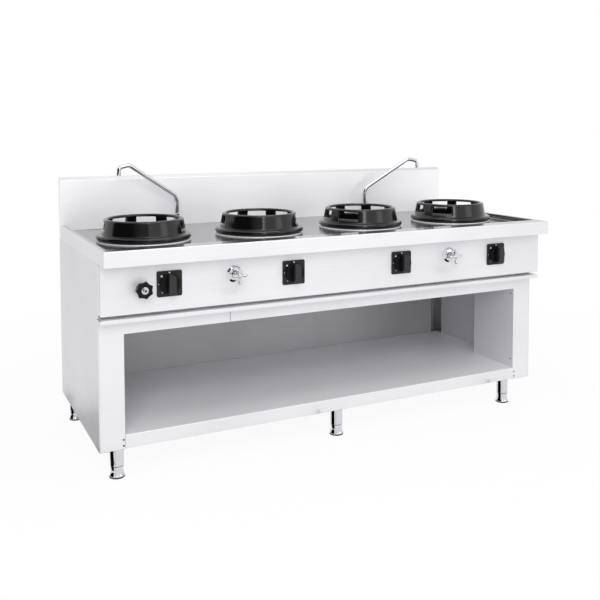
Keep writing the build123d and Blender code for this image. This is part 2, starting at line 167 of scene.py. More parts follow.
def linkFinish(tree, skin, f, tone, grain, normal):
    # dark to light by tone, the range of roughness by grain, which mostly lies in 0.3 to 0.7, and the bumps
    colour = addNode(tree, "Mix", {"data_type": "RGBA", 6: toLinear(f["dark"]), 7: toLinear(f["light"])},
                     {0: tone})
    gloss = addNode(tree, "MapRange", {1: 0.3, 2: 0.7, 3: f["rough"][0], 4: f["rough"][1]}, {0: grain})
    for socket, source in (("Base Color", colour.outputs[2]), ("Roughness", gloss.outputs[0]),
                           ("Normal", normal)):
        tree.links.new(source, skin.inputs[socket])


# Austenitic stainless sheet, belt-brushed: fine straight grit lines along the sheet, so highlights smear
# across them, over slow clouds left by rolling and folding. Real grit lines, about 0.1 mm apart, wouldn't
# show, so these are coarser.
stainless = {
    # satin faces under the front light, nearly white; the splashback's copy is paler still, painted light on
    # the splashback
    "stainlessBrushedFront": {"dark": "#DFDEE1", "light": "#E9E8EB", "metallic": 0.45, "rough": (0.4, 0.5)},
    "stainlessBrushedSplashPaintedLight": {"dark": "#F2F1F4", "light": "#FAF9FC", "metallic": 0.4, "rough": (0.36, 0.44)},
    # brushed upright, and a little greyer: painted shade on the sides, which face away from the front light
    "stainlessBrushedSidePaintedShade": {"dark": "#D6D5D8", "light": "#E1E0E3", "along": "Z", "metallic": 0.55,
                             "rough": (0.36, 0.46)},
    # polished rim and pressed pan: metal that mirrors the rings softly, in greyer colours that are painted
    # shade on faces that look up
    "stainlessPolishedRimPaintedShade": {"dark": "#9B9A9D", "light": "#ABAAAD", "metallic": 0.95, "rough": (0.12, 0.18)},
    "stainlessPressedPanPaintedShade": {"dark": "#858487", "light": "#939295", "metallic": 0.95, "rough": (0.18, 0.26)},
    # mill finish, dull: the shelf's copy paler, painted light where the opening lets light in, and the inner
    # copy greyer, painted shade inside and at the back
    "stainlessMillShelfPaintedLight": {"dark": "#F0EFF2", "light": "#F8F7FA", "metallic": 0.15, "rough": (0.42, 0.52)},
    "stainlessMillInnerPaintedShade": {"dark": "#B1B0B3", "light": "#BFBEC1", "metallic": 0.5, "rough": (0.42, 0.52)},
    # turned edge: a near-white copy of the steel, a painted highlight for the brightest line of the top
    "stainlessTurnedCollarPaintedHighlight": {"dark": "#F4F3F6", "light": "#FDFCFF", "metallic": 0.3, "rough": (0.2, 0.3)},
}
brushing = {
    "grit": 2.5, "drawn": 90, "gritDepth": 0.004,  # width of a line, its length in widths, its depth
    "cloud": 380, "swell": 260, "swellDepth": 0.15,
}


def brushedStainless(name):
    f, b = stainless[name], brushing
    material, tree, skin = newMaterial(name, {"Metallic": f["metallic"]})
    where = addNode(tree, "TexCoord").outputs["Object"]
    scale = [1 / (b["grit"] * mm * (b["drawn"] if axis == f.get("along", "X") else 1)) for axis in "XYZ"]
    laid = addNode(tree, "Mapping", {"Scale": scale}, {"Vector": where})
    grit = addNode(tree, "TexNoise", {"Scale": 1.0, "Detail": 3.0}, {"Vector": laid.outputs[0]})
    cloud = addNode(tree, "TexNoise", {"Scale": 1 / (b["cloud"] * mm), "Detail": 2.0}, {"Vector": where})
    tone = addNode(tree, "Math", {"operation": "ADD"}, {0: grit.outputs["Fac"], 1: cloud.outputs["Fac"]})
    tone = addNode(tree, "MapRange", {1: 0.7, 2: 1.3}, {0: tone.outputs[0]})
    swell = addNode(tree, "TexNoise", {"Scale": 1 / (b["swell"] * mm), "Detail": 1.0}, {"Vector": where})
    lines = addNode(tree, "Bump", {"Distance": b["gritDepth"] * mm}, {"Height": grit.outputs["Fac"]})
    waves = addNode(tree, "Bump", {"Distance": b["swellDepth"] * mm},
                    {"Height": swell.outputs["Fac"], "Normal": lines.outputs[0]})
    linkFinish(tree, skin, f, tone.outputs[0], grit.outputs["Fac"], waves.outputs[0])
    return material


# Chromium plate on brass or steel, buffed: mirror-bright with faint wiping smears.
chromePlate = {
    "dark": "#CCCBCF", "light": "#DFDEE2", "smear": 14, "rough": (0.05, 0.12),
    "ripple": 6, "rippleDepth": 0.006,
}


def platedChrome(name, f):
    material, tree, skin = newMaterial(name, {"Metallic": 1.0})
    where = addNode(tree, "TexCoord").outputs["Object"]
    smear = addNode(tree, "TexNoise", {"Scale": 1 / (f["smear"] * mm), "Detail": 3.0}, {"Vector": where})
    ripple = addNode(tree, "TexNoise", {"Scale": 1 / (f["ripple"] * mm), "Detail": 1.0}, {"Vector": where})
    bump = addNode(tree, "Bump", {"Distance": f["rippleDepth"] * mm}, {"Height": ripple.outputs["Fac"]})
    linkFinish(tree, skin, f, smear.outputs["Fac"], smear.outputs["Fac"], bump.outputs[0])
    return material


# Cast, moulded, machined and painted goods: a fine grain over slow unevenness, each given as its size and
# its depth, in two tones.
goods = {
    # glass enamel fired on cast iron: near black, semi-gloss, the sand mould's pebble showing through
    "enamelledCastIron": {"dark": "#070708", "light": "#0E0E10", "rough": (0.12, 0.19),
                          "grain": (2.2, 0.03), "slow": (30, 0.15)},
    # grey iron as cast: dull, sandy and slightly brown
    "bareCastIron": {"dark": "#2B2A2A", "light": "#3A3837", "rough": (0.6, 0.8),
                     "grain": (1.6, 0.15), "slow": (30, 0.2), "metallic": 0.6},
    # phenolic resin, pressed in a polished mould: near black, soft shine, almost no texture
    "phenolicPressed": {"dark": "#0C0C0D", "light": "#131315", "rough": (0.28, 0.4),
                        "grain": (0.8, 0.01), "slow": (25, 0.03), "shine": 0.15},
    # the same resin from a satin mould, a little greyer
    "phenolicSatin": {"dark": "#1E1D20", "light": "#29282B", "rough": (0.45, 0.58),
                      "grain": (0.8, 0.02), "slow": (25, 0.03), "shine": 0.4},
    # acrylonitrile plate, moulded with a fine eroded skin
    "acrylonitrileMoulded": {"dark": "#141316", "light": "#1C1B1E", "rough": (0.45, 0.6),
                             "grain": (0.9, 0.03), "slow": (40, 0.03), "shine": 0.35},
    # pad-printing ink: flat white with a slightly uneven film
    "padPrintedInk": {"dark": "#E2E2E2", "light": "#F2F2F2", "rough": (0.5, 0.65),
                      "grain": (0.6, 0.005), "slow": (4, 0.005)},
    # nitrile rubber, moulded: dull black
    "nitrileMoulded": {"dark": "#0C0C0D", "light": "#161617", "rough": (0.7, 0.85),
                       "grain": (1.2, 0.04), "slow": (15, 0.05)},
    # blackened steel: dark oxide with a little metal shine
    "steelBlackOxide": {"dark": "#3A3A3C", "light": "#4C4C4F", "rough": (0.35, 0.5),
                        "grain": (0.5, 0.01), "slow": (4, 0.01), "metallic": 0.8},
    # brass, forged and machined: yellow, with fine turning marks
    "brassMachined": {"dark": "#B08D4E", "light": "#C7A563", "rough": (0.22, 0.36),
                      "grain": (0.9, 0.02), "slow": (20, 0.02), "metallic": 1.0},
    # copper tube, drawn: warm, tarnished in patches
    "copperDrawn": {"dark": "#9C5A3C", "light": "#C07A55", "rough": (0.25, 0.42),
                    "grain": (3.0, 0.01), "slow": (35, 0.02), "metallic": 1.0},
    # steel pipe in brushed primer: flat grey
    "steelPipePrimed": {"dark": "#77797B", "light": "#86888A", "rough": (0.55, 0.7),
                        "grain": (2.5, 0.04), "slow": (30, 0.05)},
}


def grainedSkin(name):
    f = goods[name]
    shader = {"Metallic": f.get("metallic", 0.0), "Specular IOR Level": f.get("shine", 0.5)}
    material, tree, skin = newMaterial(name, shader)
    where = addNode(tree, "TexCoord").outputs["Object"]
    (grainSize, grainDepth), (slowSize, slowDepth) = f["grain"], f["slow"]
    grain = addNode(tree, "TexNoise", {"Scale": 1 / (grainSize * mm), "Detail": 3.0}, {"Vector": where})
    slow = addNode(tree, "TexNoise", {"Scale": 1 / (slowSize * mm), "Detail": 2.0}, {"Vector": where})
    uneven = addNode(tree, "Bump", {"Distance": slowDepth * mm}, {"Height": slow.outputs["Fac"]})
    bump = addNode(tree, "Bump", {"Distance": grainDepth * mm},
                   {"Height": grain.outputs["Fac"], "Normal": uneven.outputs[0]})
    linkFinish(tree, skin, f, slow.outputs["Fac"], grain.outputs["Fac"], bump.outputs[0])
    return material


# in the order of their dictionaries
(frontSteel, splashLitSteel, sideShadedSteel, rimShadedSteel, panShadedSteel, shelfLitSteel, innerShadedSteel,
 collarHighlightSteel) = (brushedStainless(name) for name in stainless)
(enamelledIron, bareIron, pressedPhenolic, knobResin, plateResin, printInk, footRubber, blackScrew,
 machinedBrass, drawnCopper, primedPipe) = (grainedSkin(name) for name in goods)
chrome = platedChrome("chromePlatedBrass", chromePlate)
print("materials made")


# Mesh tools, in millimetres.
def roundPath(points, radii, steps, closed=False):
    # the path with each corner turned into an arc; one radius for all corners, or one for each
    points = [Vector(p) for p in points]
    count = len(points)
    if not isinstance(radii, (list, tuple)):
        radii = [radii] * count
    out = []
    for i, corner in enumerate(points):
        radius = radii[i]
        if radius <= 0 or (not closed and i in (0, count - 1)):
            out.append(corner.copy())
            continue
        back = (points[i - 1] - corner).normalized()
        ahead = (points[(i + 1) % count] - corner).normalized()
        half = back.angle(ahead) / 2
        centre = corner + (back + ahead).normalized() * (radius / math.sin(half))
        start = corner + back * (radius / math.tan(half)) - centre
        end = corner + ahead * (radius / math.tan(half)) - centre
        turn = math.pi - 2 * half
        for k in range(steps + 1):
            t = k / steps
            arc = start * math.sin((1 - t) * turn) + end * math.sin(t * turn)
            out.append(centre + arc / math.sin(turn))
    return out


def foldStrip(bm, path, reach):
    # a folded sheet's outer skin: the path carried along reach; outside is path direction x reach
    near = [bm.verts.new(p) for p in path]
    far = [bm.verts.new(Vector(p) + Vector(reach)) for p in path]
    for i in range(len(path) - 1):
        bm.faces.new((near[i], near[i + 1], far[i + 1], far[i]))
    return near, far


def circle(centre, radius, across, up, count):
    centre, across, up = Vector(centre), Vector(across), Vector(up)
    turns = [2 * math.pi * i / count for i in range(count)]
    return [centre + across * radius * math.cos(a) + up * radius * math.sin(a) for a in turns]


def bridge(bm, a, b):
    # a band of faces between two closed rings
    for i in range(len(a)):
        j = (i + 1) % len(a)
        bm.faces.new((a[i], a[j], b[j], b[i]))


def flatPlate(bm, outline, holes, facing):
    # one flat sheet with holes, filled with triangles
    edges = []
    for loop in [outline, *holes]:
        verts = [bm.verts.new(p) for p in loop]
        edges += [bm.edges.new(pair) for pair in zip(verts, verts[1:] + verts[:1])]
    made = bmesh.ops.triangle_fill(bm, use_beauty=True, use_dissolve=False, edges=edges, normal=facing)
    for face in made["geom"]:
        if isinstance(face, bmesh.types.BMFace):
            face.normal_update()
            if face.normal.dot(Vector(facing)) < 0:
                face.normal_flip()


def lathe(bm, outline, at, count, reach=None):
    # closed outline of (radius, height) turned round Z; reach(angle, radius) scales it, for hexes and lobes
    rings = []
    for r, z in outline:
        turns = [2 * math.pi * i / count for i in range(count)] if r > 1e-6 else [0]
        rings.append([bm.verts.new(at @ Vector((r * k * math.cos(a), r * k * math.sin(a), z)))
                      for a in turns for k in [reach(a, r) if reach else 1]])
    pairs = list(zip(rings, rings[1:]))
    if len(rings[0]) > 1 or len(rings[-1]) > 1:
        pairs.append((rings[-1], rings[0]))
    for a, b in pairs:
        for i in range(count):
            j = (i + 1) % count
            corners = []
            for v in (a[i % len(a)], a[j % len(a)], b[j % len(b)], b[i % len(b)]):
                if v not in corners:
                    corners.append(v)
            if len(corners) > 2:
                bm.faces.new(corners)


def tube(bm, path, radius, bore, count):
    # a round pipe along a path, open at both ends
    across = None
    walls = {radius: [], bore: []}
    for i, p in enumerate(path):
        ahead = (path[min(i + 1, len(path) - 1)] - path[max(i - 1, 0)]).normalized()
        if across is None:
            across = ahead.orthogonal().normalized()
        across = (across - ahead * across.dot(ahead)).normalized()
        up = ahead.cross(across)
        for r in walls:
            walls[r].append([bm.verts.new(q) for q in circle(p, r, across, up, count)])
    pairs = [pair for rings in walls.values() for pair in zip(rings, rings[1:])]
    pairs += [(walls[radius][end], walls[bore][end]) for end in (0, -1)]
    for a, b in pairs:
        bridge(bm, a, b)


def rounded(outline, radius, steps):
    # rounds every corner of a closed (radius, height) outline
    return [(p.x, p.y) for p in roundPath(outline, radius, steps, closed=True)]


def handed(path, side):
    # a right-hand part runs its path the other way, so that its outside stays out
    return path if side < 0 else list(reversed(path))


def quarter(steps=4):
    # the angles of a bend's steps, from 0 to a right angle
    return [math.radians(90 * k / steps) for k in range(steps + 1)]


facingFront = Matrix.Rotation(math.radians(90), 4, "X")  # turns a lathed part's +Z to -Y


def place(x, y, z, turn=Matrix()):
    return Matrix.Translation((x, y, z)) @ turn


def makePiece(name, bm, material, body, stands, sheet=0, bevel=0, subdivide=0):
    # scales the mesh to metres, adds the modifiers that finish it, and ties it to its body and CAD nodes;
    # a sheet is an open outer skin that gets its thickness here, anything else is a closed solid
    if not sheet:
        bmesh.ops.recalc_face_normals(bm, faces=bm.faces)
    bmesh.ops.scale(bm, vec=(mm, mm, mm), verts=bm.verts)
    mesh = bpy.data.meshes.new(name)
    bm.to_mesh(mesh)
    bm.free()
    for skin in material if isinstance(material, list) else [material]:
        mesh.materials.append(skin)
    mesh.shade_smooth()
    piece = addObject(name, mesh)
    if sheet:
        shell = piece.modifiers.new("sheetThickness", "SOLIDIFY")
        shell.thickness = sheet * mm
        shell.offset = -1
        shell.use_even_offset = True
    if bevel:
        edge = piece.modifiers.new("brokenEdges", "BEVEL")
        edge.width = bevel * mm
        edge.segments = 2
        edge.limit_method = "ANGLE"
        edge.angle_limit = math.radians(60)
    if subdivide:
        soft = piece.modifiers.new("castRounding", "SUBSURF")
        soft.levels = soft.render_levels = subdivide
    else:
        flat = piece.modifiers.new("flatFaces", "WEIGHTED_NORMAL")
        flat.keep_sharp = False
        flat.weight = 80
    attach(piece, body)
    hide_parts(*stands)


def makeSheet(name, bm, material, node, bevel=0):
    makePiece(name, bm, material, "cabinet", (node,), stockSheet, bevel)


def secondSkin(bm, isSecond):
    # the piece's second material goes on the faces whose middle passes the test
    for face in bm.faces:
        face.material_index = 1 if isSecond(face.calc_center_median()) else 0


# Worktop: rim, apron and skirts folded from one sheet, with the pressed pan's walls
worktop = {
    "halfWidth": 1000, "front": -435, "back": 395, "top": 850, "skirtBottom": 793,
    "outerBend": 4, "cornerRadius": 4,
    "cornerShrink": 0.8,  # how much of the bend's pull-in the plan's corner radius follows
    "panHalf": 980, "panFront": -365, "panFloor": 828, "lipBend": 3, "coveRadius": 4, "panCorner": 14,
    "polishedShadedRow": 4,  # rows of faces from here inwards, the rim's top and the pan's walls, are polished and greyer, with painted shade
    "flangeGap": 0.2,
}


def uPath(halfX, front, z, corner, back):
    # open at the back: back left, front left corner, front right corner, back right
    path = [(-halfX, back, z), (-halfX, front, z), (halfX, front, z), (halfX, back, z)]
    return roundPath(path, corner, 6)


def worktopLevels(w):
    # half width, front, height and plan corner of each loop, from the skirt's foot over the rim into the pan
    bend, lip, cove = w["outerBend"], w["lipBend"], w["coveRadius"]
    yield w["halfWidth"], w["front"], w["skirtBottom"], w["cornerRadius"]
    for t in quarter():
        pull = bend * (1 - math.cos(t))
        yield (w["halfWidth"] - pull, w["front"] + pull, w["top"] - bend + bend * math.sin(t),
               w["cornerRadius"] - w["cornerShrink"] * pull)
    for t in quarter():
        pull = lip * math.sin(t)
        yield (w["panHalf"] + lip - pull, w["panFront"] - lip + pull, w["top"] - lip * (1 - math.cos(t)),
               w["panCorner"] + lip - pull)
    for t in quarter():
        pull = cove * (1 - math.cos(t))
        yield (w["panHalf"] - pull, w["panFront"] + pull, w["panFloor"] + cove * (1 - math.sin(t)),
               w["panCorner"] - pull)


def makeWorktop(w):
    bm = bmesh.new()
    loops = [[bm.verts.new(p) for p in uPath(*level, w["back"])] for level in worktopLevels(w)]
    for row, (low, high) in enumerate(zip(loops, loops[1:])):
        for i in range(len(low) - 1):
            face = bm.faces.new((low[i], low[i + 1], high[i + 1], high[i]))
            face.material_index = 1 if row >= w["polishedShadedRow"] else 0
    # the apron's turned-under flange
    inset = stockSheet + w["flangeGap"]
    foldStrip(bm, [(-w["halfWidth"] + inset, w["front"] + inset, w["skirtBottom"]),
                   (-w["halfWidth"] + inset, panelFront, w["skirtBottom"])],
              (2 * (w["halfWidth"] - inset), 0, 0))
    makeSheet("worktopRim", bm, [frontSteel, rimShadedSteel], "worktop")


# Pan floor: pressed sheet with four ring holes, two turret holes and the drain slot
panFloor = {
    "ringHole": 150, "turretY": 336, "turretHole": 14,
    "slotX": (-900.5, -609), "slotY": (355.5, 388.5),
}


def makePanFloor(p, w):
    bm = bmesh.new()
    z = w["panFloor"]
    *_, inmost = worktopLevels(w)  # where the pan's walls meet its floor
    spots = [(cx, ringY, p["ringHole"], 96) for cx in ringX]
    spots += [(side * outletX, p["turretY"], p["turretHole"], 24) for side in sides.values()]
    holes = [circle((cx, cy, z), radius, (1, 0, 0), (0, 1, 0), count) for cx, cy, radius, count in spots]
    (x0, x1), (y0, y1) = p["slotX"], p["slotY"]
    holes.append([(x0, y0, z), (x1, y0, z), (x1, y1, z), (x0, y1, z)])
    flatPlate(bm, uPath(*inmost, w["back"]), holes, (0, 0, 1))
    makeSheet("panFloorSheet", bm, panShadedSteel, "pan_floor")


# Splashback: a hollow box folded from one sheet, bevelled along its top front edge
splash = {
    "halfWidth": 1000, "front": 395, "back": 435, "bottom": 793, "top": 1058, "bevel": 13,
    "bend": 2, "edge": 0.7,
}  # the bevel and the top take the sides' greyer steel, painted shade that keeps them apart from the white behind


def makeSplashback(s):
    bm = bmesh.new()
    section = [(s["back"], s["bottom"]), (s["back"], s["top"]), (s["front"] + s["bevel"], s["top"]),
               (s["front"], s["top"] - s["bevel"]), (s["front"], s["bottom"])]
    path = roundPath([(-s["halfWidth"], y, z) for y, z in section], s["bend"], 4)
    near, far = foldStrip(bm, path, (2 * s["halfWidth"], 0, 0))
    secondSkin(bm, lambda middle: middle.z > s["top"] - s["bevel"] + 1)
    bm.faces.new(list(reversed(near)))
    bm.faces.new(far)
    makeSheet("splashbackBox", bm, [splashLitSteel, sideShadedSteel], "splashback", s["edge"])


# Side skins: one sheet each, bent round the front corner and turned in at the back
sideSkin = {
    "half": 1000, "front": -320, "back": 435, "bottom": 107, "top": 793,
    "backFlange": 40, "frontBend": 4, "backBend": 3,
}


def makeSideSkin(name, side, s):
    bm = bmesh.new()
    x = side * s["half"]
    z = s["bottom"]
    path = [(x - side * s["backFlange"], s["back"], z), (x, s["back"], z), (x, s["front"], z),
            (x - side * (s["frontBend"] + 1), s["front"], z)]
    path = roundPath(path, [0, s["backBend"], s["frontBend"], 0], 5)
    foldStrip(bm, handed(path, side), (0, 0, s["top"] - s["bottom"]))
    makeSheet(name + "SideSkin", bm, sideShadedSteel, name + "_side_panel")


# Front columns: the face beside the opening, bent in along the opening's edge, and a foot plate
column = {
    "outer": 995, "inner": 905, "front": -320, "back": -36, "skinInside": 998, "bend": 3,
    "bottom": 107, "bendTop": 529, "wallTop": 546, "faceTop": 640,
}


def makeColumn(name, side, c):
    bm = bmesh.new()
    z = c["bottom"]
    path = [(side * c["outer"], c["front"], z), (side * c["inner"], c["front"], z),
            (side * c["inner"], c["back"], z), (side * c["skinInside"], c["back"], z)]
    foldStrip(bm, handed(roundPath(path, c["bend"], 5), side), (0, 0, c["bendTop"] - z))
    # above the opening the face is flat up to the rail, and the wall goes on behind the rail
    for top, ends in ((c["faceTop"], [(c["outer"], c["front"]), (c["inner"], c["front"])]),
                      (c["wallTop"], [(c["inner"], c["front"] + c["bend"]), (c["inner"], c["back"])])):
        ends = [(side * x, y, c["bendTop"]) for x, y in handed(ends, side)]
        foldStrip(bm, ends, (0, 0, top - c["bendTop"]))
    # the foot plate between face, wall and skin
    x0, x1 = sorted((side * (c["inner"] + stockSheet), side * c["skinInside"]))
    foldStrip(bm, [(x0, c["back"], z), (x0, c["front"] + stockSheet, z)], (x1 - x0, 0, 0))
    makeSheet(name + "FrontColumn", bm, frontSteel, name + "_front_column")


makeWorktop(worktop)
makePanFloor(panFloor, worktop)
makeSplashback(splash)
for sideName, sideSign in sides.items():
    makeSideSkin(sideName, sideSign, sideSkin)
    makeColumn(sideName, sideSign, column)
print("worktop, splashback, sides and columns folded")


# Control panel: a shallow folded tray on its side, pierced for the spindles
controlPanel = {
    "half": 1000, "back": -320, "flangeBack": -340, "bottom": 610, "top": 793,
    "bend": 2.5, "endInset": 0.2,
    "knobZ": 710, "knobHole": 8, "tapZ": 724, "tapHole": 13.5,
    "wheelX": -853, "wheelZ": 701, "wheelHole": 12.5,
}


def foldEnds(bm, c, low, high):
    # the sheets that close a long part at its left and right
    for side in sides.values():
        ends = [(side * c["half"], y, low) for y in (c["back"], panelFront + c["endInset"])]
        foldStrip(bm, handed(ends, side), (0, 0, high - low))


def makeControlPanel(c):
    bm = bmesh.new()
    half, y, bend = c["half"], panelFront, c["bend"]
    reach = 1.001 * bend  # a hair past the bend, so that its arc has a run to end on
    for edge, face in ((c["bottom"], c["bottom"] + reach), (c["top"], c["top"] - reach)):
        path = roundPath([(-half, c["flangeBack"], edge), (-half, y, edge), (-half, y, face)], bend, 4)
        foldStrip(bm, path if edge > face else list(reversed(path)), (2 * half, 0, 0))
    z0, z1 = c["bottom"] + bend, c["top"] - bend
    outline = [(-half, y, z0), (half, y, z0), (half, y, z1), (-half, y, z1)]
    spots = [(x, c["knobZ"], c["knobHole"]) for x in ringX]
    spots += [(side * outletX, c["tapZ"], c["tapHole"]) for side in sides.values()]
    spots.append((c["wheelX"], c["wheelZ"], c["wheelHole"]))
    holes = [circle((x, y, z), radius, (1, 0, 0), (0, 0, 1), 32) for x, z, radius in spots]
    flatPlate(bm, outline, holes, (0, -1, 0))
    foldEnds(bm, c, c["bottom"], c["top"])
    bmesh.ops.remove_doubles(bm, verts=bm.verts, dist=0.02)
    makeSheet("controlPanelTray", bm, frontSteel, "control_panel")


# Drip ledge: a shelf strip with a front lip and two ends
ledge = {
    "half": 1000, "back": -320, "top": 596, "lip": 14, "bend": 2, "endInset": 0.2,
}


def makeLedge(c):
    bm = bmesh.new()
    half, y, top = c["half"], panelFront, c["top"]
    low = top - c["lip"]
    path = roundPath([(-half, c["back"], top), (-half, y, top), (-half, y, low)], c["bend"], 4)
    foldStrip(bm, path, (2 * half, 0, 0))
    secondSkin(bm, lambda middle: middle.z > top - 0.5)  # the flat top, in the pale shelf steel: painted light in the recess's shade
    foldEnds(bm, c, low, top)
    makeSheet("dripLedge", bm, [frontSteel, shelfLitSteel], "front_ledge")


# Top rails: face, bottom flange and upturned lip, in two stretches with a seam between
rail = {
    "spans": {"left": (-905, -495.9), "right": (-494.1, 905)},
    "front": -320, "back": -260, "bottom": 529, "top": 640, "lipTop": 546, "bend": 3,
    "shadeLine": 594,  # above it, in the recess over the ledge, the sheet takes the pale shelf steel, painted light in the recess's shade
}


def makeRail(name, r):
    bm = bmesh.new()
    x0, x1 = r["spans"][name]
    path = [(x0, r["front"], r["top"]), (x0, r["front"], r["shadeLine"]), (x0, r["front"], r["bottom"]),
            (x0, r["back"], r["bottom"]), (x0, r["back"], r["lipTop"])]
    foldStrip(bm, roundPath(path, [0, 0, r["bend"], r["bend"], 0], 5), (x1 - x0, 0, 0))
    secondSkin(bm, lambda middle: middle.z > r["shadeLine"])
    makeSheet(name + "TopRail", bm, [frontSteel, shelfLitSteel], "top_rail_" + name)


# Base shelf: deck, front fascia and back apron, turned-in leg flanges and two stiffeners
shelf = {
    "narrowHalf": 905, "wideHalf": 998, "front": -320, "columnBack": -36, "back": 397,
    "bottom": 107, "top": 158, "flange": 80, "bend": 3,
    "stiffenerX": (-450, 450), "stiffenerHalf": 30, "stiffenerBend": 2,
}


def makeShelf(s):
    bm = bmesh.new()
    a, b = s["narrowHalf"], s["wideHalf"]
    frontPart = [(-a, s["columnBack"], s["top"]), (-a, s["front"], s["top"]), (-a, s["front"], s["bottom"]),
                 (-a, s["front"] + s["flange"], s["bottom"])]
    foldStrip(bm, roundPath(frontPart, s["bend"], 5), (2 * a, 0, 0))
    secondSkin(bm, lambda middle: middle.z < s["top"] - 1)  # the fascia and its bends
    backPart = [(-b, s["back"] - s["flange"], s["bottom"]), (-b, s["back"], s["bottom"]),
                (-b, s["back"], s["top"]), (-b, s["columnBack"], s["top"])]
    foldStrip(bm, roundPath(backPart, s["bend"], 5), (2 * b, 0, 0))
    low, high = s["bottom"] + stockSheet, s["top"] - stockSheet
    y0, y1 = s["front"] + stockSheet, s["back"] - stockSheet
    for x in s["stiffenerX"]:
        h = s["stiffenerHalf"]
        channel = [(x - h, y0, high), (x - h, y0, low), (x + h, y0, low), (x + h, y0, high)]
        foldStrip(bm, list(reversed(roundPath(channel, s["stiffenerBend"], 4))), (0, y1 - y0, 0))
    # the deck in the pale shelf steel, painted light
    makeSheet("baseShelfSheet", bm, [shelfLitSteel, frontSteel], "base_shelf")


makeControlPanel(controlPanel)
makeLedge(ledge)
for sideName in sides:
    makeRail(sideName, rail)
makeShelf(shelf)
print("panel, ledge, rails and shelf folded")

# Wok rings: one casting each, a flange, a leaning wall and five windows towards the back
wokRing = {
    "seatZ": 832,
    "outline": [(150, 0), (188, 0), (188, 24), (168, 24), (157, 84), (139, 84), (146, 30)],
    "rounding": [1, 11, 10, 4, 8, 7, 10],
    "midRadius": 150,  # between the wall's outside and its inside
    "levels": (41, 42.5, 56.5, 70.5, 72),  # window foot, three supports, window head
    "windows": 5, "windowHalf": 15.5, "windowPitch": 49,  # degrees
    "turns": (19, 19, -32, -32),  # how far each ring's windows are turned from the back
    "columnStep": 4, "edgeSupport": 0.8,  # degrees, as the windows' numbers above
}


def ringRows(r):
    # the casting's section, with extra points where the walls pass the windows' levels
    rows = []
    profile = rounded(r["outline"], r["rounding"], 3)
    for (r0, z0), (r1, z1) in zip(profile, profile[1:] + profile[:1]):
        rows.append((r0, z0, None))
        if min(z0, z1) < r["levels"][0] and max(z0, z1) > r["levels"][-1]:
            levels = list(enumerate(r["levels"]))
            for number, z in (levels if z1 > z0 else reversed(levels)):
                rows.append((r0 + (r1 - r0) * (z - z0) / (z1 - z0), z, number))
    return rows


def ringColumns(r):
    # every angle at which the section is repeated, and where each window starts and ends
    turns = set(range(0, 360, r["columnStep"]))
    spans = []
    for k in range(r["windows"]):
        middle = (k - (r["windows"] - 1) / 2) * r["windowPitch"]
        spans.append((middle - r["windowHalf"], middle + r["windowHalf"]))
        for edge in spans[-1]:
            turns |= {(edge - r["edgeSupport"]) % 360, (edge + r["edgeSupport"]) % 360}
    return sorted(turns), spans


def makeWokRing(number, r):
    bm = bmesh.new()
    rows = ringRows(r)
    turns, spans = ringColumns(r)
    start = 90 - r["turns"][number - 1]
    at = place(ringX[number - 1], ringY, r["seatZ"])
    grid, isOpen = [], []
    for turn, ahead in zip(turns, turns[1:] + [turns[0] + 360]):
        middle = (turn + ahead) / 2
        isOpen.append(any(low <= middle - 360 * k <= high for low, high in spans for k in (0, 1)))
        a = math.radians(start + turn)
        grid.append([bm.verts.new(at @ Vector((radius * math.cos(a), radius * math.sin(a), z)))
                     for radius, z, level in rows])
    marked = [(level, i, radius) for i, (radius, z, level) in enumerate(rows) if level is not None]
    outer = {level: i for level, i, radius in marked if radius > r["midRadius"]}
    inner = {level: i for level, i, radius in marked if radius < r["midRadius"]}
    last = len(r["levels"]) - 1

    def quad(*corners):
        bm.faces.new([grid[column][row] for column, row in corners])

    for c in range(len(turns)):
        d = (c + 1) % len(turns)
        for i in range(len(rows)):
            j = (i + 1) % len(rows)
            if not (isOpen[c] and rows[i][2] is not None and rows[j][2] is not None):
                quad((c, i), (d, i), (d, j), (c, j))
        if isOpen[c]:
            # the window's foot and head, then its two cheeks
            for k in (0, last):
                quad((c, outer[k]), (d, outer[k]), (d, inner[k]), (c, inner[k]))
            for edge, beside in ((c, c - 1), (d, d)):
                for k in range(0 if isOpen[beside] else last):
                    quad((edge, outer[k]), (edge, outer[k + 1]), (edge, inner[k + 1]), (edge, inner[k]))
    node = "wok_ring_%d" % number
    makePiece("wokRing%d" % number, bm, enamelledIron, node, (node,), subdivide=1)


# Fire bowls, hung under the pan, and the pressed collars that the rings stand on
fireBowl = {
    "outline": [(140, 826), (170, 826), (170, 822), (147, 822), (84, 634), (46, 634), (46, 640), (79, 640),
                (140, 818)],
    "rounding": 1.5,
}
burnerCollar = {
    "outline": [(152, 0), (154, 0), (154, 2), (184, 2), (184, 0), (186, 0), (186, 4), (152, 4)],
    "rounding": [0, 0, 0, 0, 0, 0, 1.5, 1.5], "footZ": 828,
}


def makeFireBowl(number, b):
    bm = bmesh.new()
    lathe(bm, rounded(b["outline"], b["rounding"], 2), place(ringX[number - 1], ringY, 0), count=96)
    makePiece("fireBowl%d" % number, bm, bareIron, "cabinet", ("fire_bowl_%d" % number,))


def makeCollars(c):
    bm = bmesh.new()
    for x in ringX:
        lathe(bm, rounded(c["outline"], c["rounding"], 3), place(x, ringY, c["footZ"]), count=128)
    makePiece("burnerCollars", bm, collarHighlightSteel, "cabinet", ("burner_collars",))


for ringNumber in range(1, len(ringX) + 1):
    makeWokRing(ringNumber, wokRing)
    makeFireBowl(ringNumber, fireBowl)
makeCollars(burnerCollar)
print("wok rings, bowls and collars cast")

